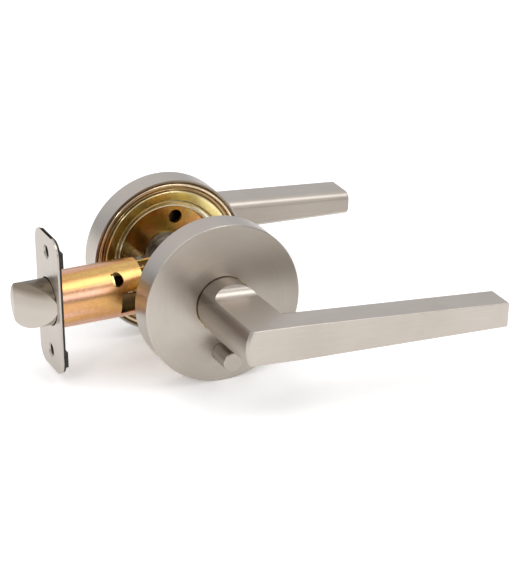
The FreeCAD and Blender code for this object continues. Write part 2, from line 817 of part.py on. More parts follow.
def round_stack(body, steps):
    """Coaxial round steps at the push pin's place: (radius, low height, high height)."""
    for radius, low, high in steps:
        sketch = new_sketch(body, "XZ_Plane", low)
        draw_circle(sketch, "0", "-pin_offset", radius)
        pad(body, sketch, "%s - (%s)" % (high, low))


def bore_at_pin(body, radius, low, high):
    sketch = new_sketch(body, "XZ_Plane", low)
    draw_circle(sketch, "0", "-pin_offset", radius)
    cut(body, sketch, "%s - (%s)" % (high, low), reverse=True)


def make_push_pin():
    """Button that stands out of the inside rose, on a thinner stem with a groove."""
    body = new_body("push_pin")
    round_stack(body, [
        ("pin_radius", "pin_base", "rose_depth + pin_stand"),
        ("stem_radius", "clip_top", "pin_base"),
        ("stem_radius - clip_groove", "clip_top - clip_wall", "clip_top"),
        ("stem_radius", "stem_tip", "clip_top - clip_wall"),
    ])
    radius = size("pin_radius")
    front = -size("rose_depth") - size("pin_stand")
    round_edges(body, "pin_edge",
                lambda edge: is_ring(edge, radius) and near(edge.CenterOfMass.y, front))
    place_on_trim(body, INSIDE)


def make_push_pin_clip():
    """Clip in the stem's groove that keeps the pin in its housing."""
    body = new_body("push_pin_clip")
    round_stack(body, [("clip_radius", "clip_top - clip_wall", "clip_top")])
    bore_at_pin(body, "stem_radius - clip_groove", "clip_top - clip_wall", "clip_top")
    place_on_trim(body, INSIDE)


def make_lock_housing():
    """Closed tube in the inside plate that guides the stem and holds its spring."""
    body = new_body("lock_housing")
    space = "housing_radius - housing_wall"
    turned(body, [
        ("stem_hole", "housing_base"),
        ("housing_radius", "housing_base"),
        ("housing_radius", "floor_top"),
        ("stem_hole", "floor_top"),
        ("stem_hole", "floor_top - housing_end"),
        (space, "floor_top - housing_end"),
        (space, "housing_base + housing_end"),
        ("stem_hole", "housing_base + housing_end"),
    ], "-pin_offset")
    place_on_trim(body, INSIDE)


def make_push_pin_spring():
    """Compression spring between the housing's end and the clip."""
    low = "housing_base + housing_end + pin_wire + coil_clear"
    length = "clip_top - clip_wall - pin_wire - coil_clear - (%s)" % low
    spring = coil("push_pin_spring", "stem_radius + pin_wire + pin_coil_gap",
                  "(%s) / pin_coils" % length, length, "pin_wire")
    spring.Label = "push_pin_spring"
    doc.recompute()
    start = (size("housing_base") + size("housing_end") + size("pin_wire")
             + size("coil_clear"))
    place_on_trim(spring, INSIDE)
    seat = FreeCAD.Vector(0, -start, -size("pin_offset"))
    stand = FreeCAD.Rotation(FreeCAD.Vector(1, 0, 0), 90)
    spring.Placement = spring.Placement.multiply(FreeCAD.Placement(seat, stand))


def make_locking_rod():
    """Rod on the stem's end that reaches across the door to the outside trim."""
    body = new_body("locking_rod")
    round_stack(body, [("rod_radius", "rod_tip", "stem_tip")])
    place_on_trim(body, INSIDE)


# ------------------------------------------------------------------------------- latch

def make_faceplate():
    """Standard faceplate in the door's edge, with countersunk screw holes."""
    body = new_body("latch_faceplate")
    plate = new_sketch(body, "YZ_Plane", "-backset")
    draw_outline(plate, box_points("-face_width / 2", "face_width / 2",
                                   "-face_height / 2", "face_height / 2"))
    pad(body, plate, "face_wall")
    round_edges(body, "face_corner", lambda edge: along_axis(edge, 0))
    holes = new_sketch(body, "YZ_Plane", "-backset")
    draw_circle(holes, "0", "0", "nose_hole")
    for sign in ("1", "-1"):
        draw_circle(holes, "0", sign + " * face_hole_spacing / 2", "face_hole")
    cut(body, holes, "face_wall", reverse=True)
    radius = size("face_hole")
    front = -size("backset")
    round_edges(body, "face_sink",
                lambda edge: is_ring(edge, radius) and near(edge.CenterOfMass.x, front),
                "PartDesign::Chamfer")


def make_backplate():
    """Dark backplate behind the faceplate, thicker round its screw holes."""
    body = new_body("latch_backplate")
    plate = new_sketch(body, "YZ_Plane", "-face_back")
    draw_outline(plate, box_points("back_inset - face_width / 2", "face_width / 2 - back_inset",
                                   "back_inset - face_height / 2",
                                   "face_height / 2 - back_inset"))
    pad(body, plate, "back_wall")
    round_edges(body, "face_corner - back_inset", lambda edge: along_axis(edge, 0))
    pads = new_sketch(body, "YZ_Plane", "-face_back")
    for sign in ("1", "-1"):
        draw_outline(pads, box_points("back_inset - face_width / 2",
                                      "face_width / 2 - back_inset",
                                      sign + " * face_hole_spacing / 2 - pad_height / 2",
                                      sign + " * face_hole_spacing / 2 + pad_height / 2"))
    pad(body, pads, "back_wall + pad_rise")
    trim = new_sketch(body, "YZ_Plane", "-face_back")
    draw_circle(trim, "0", "0", "nose_hole")
    for sign in ("1", "-1"):
        draw_circle(trim, "0", sign + " * face_hole_spacing / 2", "back_hole")
    cut(body, trim, "back_wall + pad_rise", reverse=True)


def make_case():
    """Round case in the edge boring; behind it only its lower strip runs on."""
    body = new_body("latch_case")
    revolve(body, new_sketch(body, "XY_Plane"), [
        ("-back_back", "case_inner"),
        ("-back_back", "case_radius"),
        ("strip_end", "case_radius"),
        ("strip_end", "case_inner"),
    ], axis="H_Axis")
    wide = "2 * (case_radius + over_cut)"
    keyhole_round = new_sketch(body, "XZ_Plane")
    draw_circle(keyhole_round, "-case_end - keyhole_from_end", "keyhole_rise", "keyhole_half")
    cut(body, keyhole_round, wide, both=True)
    keyhole = new_sketch(body, "XZ_Plane")
    draw_outline(keyhole, box_points("-case_end - keyhole_from_end - keyhole_square",
                                     "-case_end - keyhole_from_end",
                                     "keyhole_rise - keyhole_square",
                                     "keyhole_rise + keyhole_square"))
    cut(body, keyhole, wide, both=True)
    rear = new_sketch(body, "XZ_Plane")
    draw_outline(rear, box_points("-case_end", "strip_end + over_cut", "-strip_top",
                                  "case_radius + over_cut"))
    cut(body, rear, wide, both=True)
    window = new_sketch(body, "XZ_Plane")
    draw_outline(window, box_points("-window_front", "-case_end + over_cut",
                                    "-strip_top", "window_top"))
    cut(body, window, wide, reverse=True)
    corner = new_sketch(body, "XZ_Plane")
    draw_corner(corner, "-case_end", "window_top", "window_round")
    cut(body, corner, wide, reverse=True)


def make_rear_frame():
    """Channel on the case's strip; its two cheeks carry the cam."""
    body = new_body("latch_rear_frame")
    channel = new_sketch(body, "YZ_Plane", "-frame_front")
    top = "journal_hole + frame_top_edge"
    inner = "frame_wall - frame_floor"
    draw_outline(channel, [
        ("-frame_half", top),
        ("-frame_half", "-frame_floor"),
        ("frame_half", "-frame_floor"),
        ("frame_half", top),
        ("frame_half - frame_wall", top),
        ("frame_half - frame_wall", inner),
        ("frame_wall - frame_half", inner),
        ("frame_wall - frame_half", top),
    ])
    pad(body, channel, "frame_front + strip_end")
    holes = new_sketch(body, "XZ_Plane")
    draw_circle(holes, "0", "0", "journal_hole")
    draw_circle(holes, "-bolt_pitch_radius * cos(trim_tilt)",
                "bolt_pitch_radius * sin(trim_tilt)", "bolt_radius + nose_gap")
    cut(body, holes, "2 * (frame_half + over_cut)", both=True)


def make_spring_seat():
    """Disc across the case that the bolt's spring pushes against."""
    body = new_body("latch_spring_seat")
    disc = new_sketch(body, "YZ_Plane", "-seat_front")
    draw_circle(disc, "0", "0", "case_inner - seat_fit")
    pad(body, disc, "seat_wall")
    window = new_sketch(body, "YZ_Plane", "-seat_front")
    draw_outline(window, box_points("-tail_half - tail_window_gap",
                                    "tail_half + tail_window_gap",
                                    "tail_low - tail_window_gap",
                                    "tail_high + tail_window_gap"))
    cut(body, window, "seat_wall", reverse=True)


def make_latch_bolt():
    """Round bolt with a slanted face, bored at the back for its spring."""
    body = new_body("latch_bolt")
    revolve(body, new_sketch(body, "XY_Plane"), [
        ("-nose_tip", "0"),
        ("-nose_tip", "nose_radius"),
        ("-nose_rear", "nose_radius"),
        ("-nose_rear", "bore_radius"),
        ("-nose_rear - bore_depth", "bore_radius"),
        ("-nose_rear - bore_depth", "0"),
    ], axis="H_Axis")
    # all that lies outside a large circle through the bevel's root and tip goes
    bevel = new_sketch(body, "XY_Plane")
    across = "bevel_long * bevel_rise / bevel_chord - (nose_tip + backset - bevel_sink) / 2"
    along = "bevel_high * bevel_rise / bevel_chord - nose_flat / 2"
    draw_circle(bevel, across, along, "bevel_radius")
    draw_outline(bevel, box_points("-nose_tip - bevel_radius", "bevel_radius",
                                   "-2 * bevel_radius", "3 * bevel_radius"))
    cut(body, bevel, "2 * (nose_radius + over_cut)", both=True)
    tip = -size("nose_tip")
    round_edges(body, "nose_edge", lambda edge: near(edge.BoundBox.XMax, tip, 1e-3))


def make_bolt_tail():
    """Flange on the bolt's back, two rails past the spindle, and a bridge for the cam."""
    body = new_body("bolt_tail")
    flange = new_sketch(body, "YZ_Plane", "-nose_rear")
    draw_circle(flange, "0", "0", "tail_flange")
    draw_circle(flange, "0", "0", "tail_bore")
    pad(body, flange, "tail_wall")
    rear = "bridge_wall - bridge_front"
    for start in ("tail_half - tail_wall", "-tail_half"):
        rail = new_sketch(body, "XZ_Plane", start)
        draw_outline(rail, [
            ("tail_wall / 2 - nose_rear", "tail_low"),
            (rear, "tail_low"),
            (rear, "tail_top"),
            ("-bridge_front - tail_wall", "tail_top"),
            ("-bridge_front - 2 * tail_wall", "tail_high"),
            ("tail_wall / 2 - nose_rear", "tail_high"),
        ])
        pad(body, rail, "tail_wall")
    bridge = new_sketch(body, "XZ_Plane")
    draw_outline(bridge, box_points("-bridge_front", rear, "bridge_low", "tail_top"))
    pad(body, bridge, "2 * tail_half", both=True)


def make_bolt_spring():
    """Compression spring from the bolt's bore to the seat."""
    start = "nose_rear + bore_depth - latch_wire - coil_clear"
    length = "%s - seat_front - latch_wire - coil_clear" % start
    spring = coil("bolt_spring", "latch_coil", "(%s) / latch_coils" % length, length,
                  "latch_wire")
    spring.Label = "bolt_spring"
    doc.recompute()
    front = (size("nose_rear") + size("bore_depth") - size("latch_wire")
             - size("coil_clear"))
    spring.Placement = FreeCAD.Placement(FreeCAD.Vector(-front, 0, 0),
                                         FreeCAD.Rotation(FreeCAD.Vector(0, 1, 0), 90))


def make_cam():
    """Hub on the spindle with journals in the frame and an arm behind the bridge."""
    body = new_body("latch_cam")
    journals = new_sketch(body, "XZ_Plane")
    draw_circle(journals, "0", "0", "journal_radius")
    pad(body, journals, "2 * frame_half", both=True)
    hub = new_sketch(body, "XZ_Plane")
    draw_circle(hub, "0", "0", "cam_radius")
    pad(body, hub, "arm_width", both=True)
    lean = "(-half_turn - trim_tilt)"
    arm = new_sketch(body, "XZ_Plane")
    corners = []
    for side, along in (("-1", "0"), ("1", "0"), ("1", "arm_reach"), ("-1", "arm_reach")):
        corners.append(("%s * arm_half * cos(%s) + %s * sin(%s)" % (side, lean, along, lean),
                        "-(%s) * arm_half * sin(%s) + %s * cos(%s)" % (side, lean, along, lean)))
    draw_outline(arm, corners)
    pad(body, arm, "arm_width", both=True)
    tip = new_sketch(body, "XZ_Plane")
    draw_circle(tip, "arm_reach * sin(%s)" % lean, "arm_reach * cos(%s)" % lean, "arm_tip")
    pad(body, tip, "arm_width", both=True)
    socket = new_sketch(body, "XZ_Plane")
    draw_outline(socket, box_points("-socket_half", "socket_half",
                                    "-socket_half", "socket_half"))
    cut(body, socket, "2 * (frame_half + over_cut)", both=True)
    body.Placement = FreeCAD.Placement(FreeCAD.Vector(), tilt())


# ---------------------------------------------------------------------- build and write

TRIM_NODES = ("rose", "mounting_plate", "hub_sleeve", "drive_plate", "retaining_ring",
              "return_spring", "lever", "set_screw")

OTHER_NODES = ("spindle", "through_bolts", "mounting_posts", "push_pin", "push_pin_clip",
               "lock_housing", "push_pin_spring", "locking_rod", "latch_faceplate",
               "latch_backplate", "latch_case", "latch_rear_frame", "latch_spring_seat",
               "latch_bolt", "bolt_tail", "bolt_spring", "latch_cam")


def make_all():
    for side in (INSIDE, OUTSIDE):
        make_rose(side)
        make_mounting_plate(side)
        make_hub_sleeve(side)
        make_drive_plate(side)
        make_retaining_ring(side)
        make_return_spring(side)
        make_lever(side)
        make_set_screw(side)
    make_spindle()
    make_through_bolts()
    make_mounting_posts()
    make_push_pin()
    make_push_pin_clip()
    make_lock_housing()
    make_push_pin_spring()
    make_locking_rod()
    make_faceplate()
    make_backplate()
    make_case()
    make_rear_frame()
    make_spring_seat()
    make_latch_bolt()
    make_bolt_tail()
    make_bolt_spring()
    make_cam()


def check_and_write():
    """Write each piece once every object is sound."""
    doc.recompute()
    for thing in doc.Objects:
        if "Invalid" in thing.State or "Error" in thing.State:
            raise RuntimeError(thing.Label + " failed")
    names = [side + "_" + node for side in (INSIDE, OUTSIDE) for node in TRIM_NODES]
    names += OTHER_NODES
    pieces = [(name, doc.getObjectsByLabel(name)[0].Shape) for name in names]
    for name, shape in pieces:
        if shape.isNull() or not shape.isValid() or not shape.Solids:
            raise RuntimeError(name + " has no sound shape")
    os.makedirs("parts", exist_ok=True)
    for name, shape in pieces:
        shape.exportStep("parts/" + name + ".step")
        print(name, len(shape.Solids), round(shape.Volume, 1))


make_all()
check_and_write()
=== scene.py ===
import math

import bpy
from mathutils import Matrix, Vector


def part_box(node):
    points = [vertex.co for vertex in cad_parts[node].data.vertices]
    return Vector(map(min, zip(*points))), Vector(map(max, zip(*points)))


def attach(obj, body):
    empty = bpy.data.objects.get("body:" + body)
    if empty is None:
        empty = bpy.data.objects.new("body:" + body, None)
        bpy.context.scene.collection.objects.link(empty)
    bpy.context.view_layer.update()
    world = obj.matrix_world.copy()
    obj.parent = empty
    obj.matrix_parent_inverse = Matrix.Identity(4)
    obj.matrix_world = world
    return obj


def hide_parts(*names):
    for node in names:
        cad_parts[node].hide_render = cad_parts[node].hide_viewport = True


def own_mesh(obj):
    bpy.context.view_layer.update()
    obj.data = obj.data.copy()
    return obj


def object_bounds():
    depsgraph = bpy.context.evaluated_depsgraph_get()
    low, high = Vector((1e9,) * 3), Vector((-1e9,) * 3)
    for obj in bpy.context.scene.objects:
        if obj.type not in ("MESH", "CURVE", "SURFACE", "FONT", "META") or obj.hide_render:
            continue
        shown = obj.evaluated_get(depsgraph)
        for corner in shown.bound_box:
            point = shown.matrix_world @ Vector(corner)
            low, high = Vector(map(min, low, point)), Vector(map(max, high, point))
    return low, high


# ---------------------------------------------------------------- values

# The camera: where it stands round the set, how it leans, and its lens.
CAMERA_AZIMUTH = math.radians(-23.91)
CAMERA_ELEVATION = math.radians(23.05)
CAMERA_ROLL = math.radians(-1.06)
CAMERA_PLACE = Vector((-0.3551, -0.8722, 0.3918))
CAMERA_LENS = 155.41
CAMERA_SENSOR = 36.0
CAMERA_NEAR = 0.05
CAMERA_FAR = 50.0

# The lamps: the direction each stands in, its width and height in metres, and its watts.
LAMP_DISTANCE = 1.2
LAMPS = {
    "key": ((0.373, -0.344, 0.862), 0.8, 0.6, 3.0),
    "top": ((-0.35, 0.1, 0.93), 0.9, 0.6, 1.5),
    "rim": ((-0.6, -0.52, 0.58), 0.15, 0.12, 1.2),
    "fill": ((0.37, -0.84, 0.39), 0.5, 0.4, 1.2),
}

# The sky: one ramp by height for its front and one for its back, which cross over at Y = 0.
FRONT_SKY = [(0.0, (0.40, 0.40, 0.40)), (0.5, (0.52, 0.52, 0.52)), (0.85, (0.95, 0.95, 0.95))]
BACK_SKY = [(0.0, (0.42, 0.43, 0.45)), (0.30, (0.82, 0.83, 0.88)), (0.7, (0.95, 0.95, 0.95))]
SKY_CROSSING = 0.5

FLOOR_HALF = 4.0
FLOOR_SHADES = [(0.3, (0.90, 0.90, 0.90)), (0.7, (0.93, 0.93, 0.93))]
FLOOR_GLOW = 0.28

# The levers hang this far below level, and each blade meets its neck on a mitre in plan,
# which crosses the lever's own axis this far behind its front.
LEVER_DROOP = math.radians(3.7)
MITRE_SLOPE = 0.8667
MITRE_DEPTH = 0.0052
MITRE_BLUR = 0.0006
BLADE_THICKNESS = 0.0164
# How far in from the blade's back the painted shade on that face reaches.
BLADE_BACK_REACH = 0.0005
NECK_FLAT = 0.00708
# How far short of the lever's front the painted shade band on the neck's side stops.
NECK_PAINTED_SHADE_START = 0.0014
TANGENT_LIFT = 0.08

# Radii where a finish changes.
RIM_RADIUS = 0.0327
RIM_FACE_EDGE = 0.0003
FLOOR_RADIUS = 0.0206
CASE_INNER = 0.0109
BOLT_RADIUS = 0.0095

# Hairlines: how fine they are across the brushing, along it, and round a turned piece.
FINE = 5200.0
ALONG = 60.0
ROUND = 1.4

# How closely each finish is speckled.
FINE_SPECK = 700.0
COARSE_SPECK = 600.0
FLOOR_SPECK = 300.0

WHITE = (1.0, 1.0, 1.0)
NICKEL = (0.56, 0.51, 0.46)
NICKEL_WARM = (0.51, 0.457, 0.40)
# painted shade on the blade's back
BACK_PAINTED_SHADE = (0.74, 0.72, 0.70, 1.0)
# painted shade: a dark band across the neck's side, by height
NECK_PAINTED_SHADE = [(0.30, (0.92, 0.91, 0.90)), (0.62, (0.70, 0.68, 0.66)), (0.78, (0.46, 0.43, 0.40)),
             (0.90, (0.62, 0.60, 0.57)), (0.97, WHITE)]
# painted shade on the rose face, darker towards its upper right
ROSE_PAINTED_SHADE = [(0.28, WHITE), (0.50, (0.92, 0.91, 0.90)), (0.75, (0.74, 0.73, 0.71))]
# painted shade on the bolt, darker towards its top
BOLT_PAINTED_SHADE = [(0.45, WHITE), (0.72, (0.80, 0.78, 0.74)), (0.90, (0.36, 0.33, 0.28))]

GOLD = (0.72, 0.50, 0.17)
OLIVE = (0.46, 0.38, 0.13)
ORANGE = (0.68, 0.36, 0.14)
PINK = (0.74, 0.42, 0.32)
STRAW = (0.86, 0.70, 0.34)
# painted shade inside the hollow of the latch tube
INNER_PAINTED_SHADE = (0.05, 0.03, 0.012, 1.0)
CLOUDY_ZINC = [(0.28, OLIVE), (0.42, GOLD), (0.52, STRAW), (0.62, ORANGE), (0.74, PINK)]
WARM_ZINC = [(0.28, GOLD), (0.45, ORANGE), (0.6, PINK), (0.75, STRAW)]
BLACKS = [(0.35, (0.012, 0.011, 0.009)), (0.75, (0.05, 0.045, 0.035))]

# The plate's hues from its middle, at 0, to its rim, at 1, and the patches on its floor. The rings
# mix chromate tint with painted highlights on the lip and inner edge and painted shade in the
# grooves; the floor patches are painted shade and reflection.
PLATE_RING_HUES_AND_SHEEN = [(0.62, (0.96, 0.89, 0.74)), (0.69, (0.92, 0.84, 0.62)), (0.72, (0.60, 0.47, 0.20)),
               (0.80, (0.82, 0.68, 0.28)), (0.84, (0.98, 0.86, 0.48)), (0.865, (0.42, 0.29, 0.15)),
               (0.91, (0.46, 0.33, 0.18)), (0.93, (0.96, 0.80, 0.60)), (0.955, (0.92, 0.74, 0.54)),
               (0.975, (0.34, 0.26, 0.13)), (1.0, (0.56, 0.47, 0.20))]
PLATE_FLOOR_PAINTED_SHADE = [(0.32, (0.20, 0.15, 0.05)), (0.48, (0.36, 0.25, 0.08)), (0.58, (0.62, 0.30, 0.10)),
               (0.70, (0.66, 0.50, 0.16))]


# ---------------------------------------------------------------- node helpers

def colour_sockets(sockets):
    return [socket for socket in sockets if socket.type == "RGBA"]


def fill_ramp(node, stops):
    """Gives a colour ramp its stops: each is a place from 0 to 1 and a colour."""
    band = node.color_ramp
    while len(band.elements) < len(stops):
        band.elements.new(1.0)
    for element, (place, colour) in zip(band.elements, stops):
        element.position = place
        element.color = (*colour, 1.0)


class Recipe:
    """A material's node tree, with short calls for the nodes that the finishes share."""

    def __init__(self, name):
        self.material = bpy.data.materials.new(name)
        self.material.use_nodes = True
        self.tree = self.material.node_tree
        self.shader = self.tree.nodes["Principled BSDF"]

    def node(self, kind, **settings):
        made = self.tree.nodes.new(kind)
        for setting, value in settings.items():
            setattr(made, setting, value)
        return made

    def feed(self, socket, value):
        """Links another node's output to the socket, or sets the socket's own value."""
        if isinstance(value, bpy.types.NodeSocket):
            self.tree.links.new(value, socket)
        else:
            socket.default_value = value

    def set(self, **sockets):
        """Feeds the shader's sockets by name, with _ for each space."""
        for name, value in sockets.items():
            self.feed(self.shader.inputs[name.replace("_", " ")], value)

    def place(self, turn=0.0, scale=(1.0, 1.0, 1.0)):
        """Object coordinates, turned about Y and then stretched along the axes."""
        coords = self.node("ShaderNodeTexCoord").outputs["Object"]
        turned = self.node("ShaderNodeMapping")
        turned.inputs["Rotation"].default_value = (0.0, turn, 0.0)
        self.feed(turned.inputs["Vector"], coords)
        stretched = self.node("ShaderNodeVectorMath", operation="MULTIPLY")
        self.feed(stretched.inputs[0], turned.outputs["Vector"])
        stretched.inputs[1].default_value = scale
        return stretched.outputs["Vector"]

    def parts(self, vector):
        made = self.node("ShaderNodeSeparateXYZ")
        self.feed(made.inputs["Vector"], vector)
        return [made.outputs[axis] for axis in "XYZ"]

    def join(self, x, y, z):
        made = self.node("ShaderNodeCombineXYZ")
        for axis, value in zip("XYZ", (x, y, z)):
            self.feed(made.inputs[axis], value)
        return made.outputs["Vector"]

    def maths(self, operation, *values, clamp=False):
        made = self.node("ShaderNodeMath", operation=operation, use_clamp=clamp)
        for socket, value in zip(made.inputs, values):
            self.feed(socket, value)
        return made.outputs["Value"]

    def radius(self, across, up):
        """Distance from the axis that both values are measured from."""
        across_squared = self.maths("MULTIPLY", across, across)
        up_squared = self.maths("MULTIPLY", up, up)
        return self.maths("SQRT", self.maths("ADD", across_squared, up_squared))

    def centred_share(self, value, whole):
        """The value as a share of the whole, with 0.5 where the value is zero."""
        return self.maths("ADD", self.maths("DIVIDE", value, whole), 0.5)

    def noise(self, vector, detail, roughness=0.5, distortion=0.0):
        """Cloudy noise at the vector's own scale."""
        made = self.node("ShaderNodeTexNoise")
        self.feed(made.inputs["Vector"], vector)
        made.inputs["Scale"].default_value = 1.0
        made.inputs["Detail"].default_value = detail
        made.inputs["Roughness"].default_value = roughness
        made.inputs["Distortion"].default_value = distortion
        return made.outputs["Fac"]

    def speck(self, scale, detail, roughness=0.5):
        """Noise of the same size in every direction."""
        return self.noise(self.place(scale=(scale,) * 3), detail, roughness)

    def ramp(self, fac, stops):
        made = self.node("ShaderNodeValToRGB")
        self.feed(made.inputs["Fac"], fac)
        fill_ramp(made, stops)
        return made.outputs["Color"]

    def blend(self, fac, first, second, kind="MIX"):
        made = self.node("ShaderNodeMix", data_type="RGBA", blend_type=kind)
        self.feed(made.inputs["Factor"], fac)
        for socket, value in zip(colour_sockets(made.inputs), (first, second)):
            self.feed(socket, value)
        return colour_sockets(made.outputs)[0]

    def tint(self, colour, shade):
        return self.blend(1.0, colour, shade, "MULTIPLY")

    def between(self, fac, low, high):
        made = self.node("ShaderNodeMapRange")
        self.feed(made.inputs["Value"], fac)
        made.inputs["To Min"].default_value = low
        made.inputs["To Max"].default_value = high
        return made.outputs["Result"]

    def bump(self, height, depth, strength):
        made = self.node("ShaderNodeBump")
        made.inputs["Strength"].default_value = strength
        made.inputs["Distance"].default_value = depth
        self.feed(made.inputs["Height"], height)
        return made.outputs["Normal"]

    def across(self, brushed):
        """World direction that lies in the surface at right angles to the brushing."""
        coords = self.node("ShaderNodeTexCoord").outputs["Normal"]
        crossed = self.node("ShaderNodeVectorMath", operation="CROSS_PRODUCT")
        self.feed(crossed.inputs[0], coords)
        self.feed(crossed.inputs[1], brushed)
        made = self.node("ShaderNodeVectorTransform", vector_type="VECTOR",
                         convert_from="OBJECT", convert_to="WORLD")
        self.feed(made.inputs["Vector"], crossed.outputs["Vector"])
        return made.outputs["Vector"]


# ---------------------------------------------------------------- grain patterns

def straight_grain(recipe, along, turn=0.0):
    """Hairlines that run along one axis of the piece."""
    scale = [FINE] * 3
    scale["XYZ".index(along)] = ALONG
    return recipe.noise(recipe.place(turn, scale), detail=3.0, roughness=0.7)


def turned_grain(recipe):
    """Hairlines in rings about the set's own axis, as a lathe leaves them."""
    x, y, z = recipe.parts(recipe.place())
    outward = recipe.maths("MULTIPLY", recipe.radius(x, z), FINE)
    forward = recipe.maths("MULTIPLY", y, FINE)
    angle = recipe.maths("MULTIPLY", recipe.maths("ARCTAN2", z, x), ROUND)
    return recipe.noise(recipe.join(outward, forward, angle), detail=3.0, roughness=0.7)


# ---------------------------------------------------------------- nickel finishes

def nickel_base(recipe, grain, roughness):
    """Pale warm metal with hairlines in its colour, its sheen and its relief. Gives its colour."""
    worn = recipe.ramp(recipe.speck(40.0, detail=3.0), [(0.3, NICKEL_WARM), (0.7, NICKEL)])
    fleck = recipe.ramp(grain, [(0.25, (0.84, 0.84, 0.84)), (0.75, WHITE)])
    metal = recipe.tint(worn, fleck)
    recipe.set(Base_Color=metal, Metallic=1.0,
               Roughness=recipe.between(grain, roughness - 0.05, roughness + 0.05),
               Normal=recipe.bump(grain, depth=0.00001, strength=0.35))
    return metal


def satin_nickel(name, along):
    """Nickel brushed straight along one axis."""
    recipe = Recipe(name)
    nickel_base(recipe, straight_grain(recipe, along), roughness=0.33)
    brushed = recipe.join(*(float(axis == along) for axis in "XYZ"))
    recipe.set(Anisotropic=0.5, Tangent=recipe.across(brushed))
    return recipe.material


def turned_nickel(name, painted_shade=False):
    """Lathe-turned nickel. With painted shade, its face is darker towards its upper right."""
    recipe = Recipe(name)
    metal = nickel_base(recipe, turned_grain(recipe), roughness=0.33)
    if painted_shade:
        # painted shade darkens the face towards its upper right
        x, _, z = recipe.parts(recipe.place())
        face = recipe.maths("LESS_THAN", recipe.radius(x, z), RIM_RADIUS - RIM_FACE_EDGE)
        side = recipe.centred_share(recipe.maths("ADD", x, z), 4.0 * RIM_RADIUS)
        shaded_face = recipe.tint(metal, recipe.ramp(side, ROSE_PAINTED_SHADE))
        recipe.set(Base_Color=recipe.blend(face, metal, shaded_face))
    tangent = recipe.node("ShaderNodeTangent", direction_type="RADIAL", axis="Y")
    recipe.set(Anisotropic=0.3, Anisotropic_Rotation=0.25, Tangent=tangent.outputs["Tangent"])
    return recipe.material


def lever_nickel(name, front):
    """Brushed along the neck up to the mitre and along the blade past it.

    The blade's back is darkened with painted shade, and the neck's side towards -X carries a dark
    band of painted shade.
    """
    recipe = Recipe(name)
    x, y, z = recipe.parts(recipe.place(-LEVER_DROOP))
    depth = recipe.maths("ABSOLUTE", y)
    mitre = recipe.maths("ADD", recipe.maths("MULTIPLY", x, MITRE_SLOPE), depth)
    past = recipe.maths("SUBTRACT", mitre, front - MITRE_DEPTH)
    blade = recipe.maths("ADD", recipe.maths("DIVIDE", past, MITRE_BLUR), 0.5, clamp=True)
    neck = recipe.maths("SUBTRACT", 1.0, blade)

    neck_grain = straight_grain(recipe, "Y", -LEVER_DROOP)
    blade_grain = straight_grain(recipe, "X", -LEVER_DROOP)
    grain = recipe.maths("ADD", recipe.maths("MULTIPLY", blade_grain, blade),
                         recipe.maths("MULTIPLY", neck_grain, neck))
    metal = nickel_base(recipe, grain, roughness=0.34)

    # painted shade darkens the blade's back
    back_edge = front - BLADE_THICKNESS + BLADE_BACK_REACH
    behind = recipe.maths("MULTIPLY", blade, recipe.maths("LESS_THAN", depth, back_edge))
    metal = recipe.blend(behind, metal, recipe.tint(metal, BACK_PAINTED_SHADE))

    # painted shade: a dark band along the neck's side towards -X, short of the front
    side = recipe.maths("MULTIPLY", recipe.maths("LESS_THAN", x, 0.0),
                        recipe.maths("LESS_THAN", recipe.maths("ABSOLUTE", z), NECK_FLAT))
    side = recipe.maths("MULTIPLY", side,
                        recipe.maths("LESS_THAN", depth, front - NECK_PAINTED_SHADE_START))
    band = recipe.ramp(recipe.centred_share(z, 2.0 * NECK_FLAT), NECK_PAINTED_SHADE)
    recipe.set(Base_Color=recipe.blend(side, metal, recipe.tint(metal, band)))

    # the small lift keeps the tangent sound where the brushing runs straight into a face
    brushed = recipe.join(blade, neck, TANGENT_LIFT)
    recipe.set(Anisotropic=recipe.between(blade, 0.15, 0.45), Tangent=recipe.across(brushed))
    return recipe.material


def bolt_nickel(name):
    """Cast bolt, drawn along X, with painted shade darkening its top."""
    recipe = Recipe(name)
    metal = nickel_base(recipe, straight_grain(recipe, "X"), roughness=0.24)
    _, _, z = recipe.parts(recipe.place())
    # painted shade darkens the top, with a noisy edge
    shade_noise = recipe.noise(recipe.place(scale=(90.0, 90.0, 200.0)), detail=3.0)
    height = recipe.maths("ADD", recipe.centred_share(z, 2.0 * BOLT_RADIUS),
                          recipe.maths("MULTIPLY", shade_noise, 0.1))
    shade = recipe.ramp(height, BOLT_PAINTED_SHADE)
    recipe.set(Base_Color=recipe.tint(metal, shade), Anisotropic=0.2)
    return recipe.material


# ---------------------------------------------------------------- zinc and steel finishes

def zinc_base(recipe, colour, roughness):
    """Metal of the given colour, finely speckled in its tone, its sheen and its relief."""
    speck = recipe.speck(FINE_SPECK, detail=3.0, roughness=0.6)
    dull = recipe.ramp(speck, [(0.30, (0.86, 0.85, 0.82)), (0.62, WHITE)])
    recipe.set(Base_Color=recipe.tint(colour, dull), Metallic=1.0,
               Roughness=recipe.between(speck, roughness - 0.04, roughness + 0.06),
               Normal=recipe.bump(speck, depth=0.000006, strength=0.35))


def chromate(recipe, stops, bands):
    """The colour of chromate over zinc: drifting patches of the stops' hues."""
    cloud = recipe.noise(recipe.place(scale=bands), detail=4.0, roughness=0.55, distortion=0.6)
    return recipe.ramp(cloud, stops)


def yellow_zinc(name, stops, bands, roughness):
    """Chromated zinc all over."""
    recipe = Recipe(name)
    zinc_base(recipe, chromate(recipe, stops, bands), roughness)
    return recipe.material


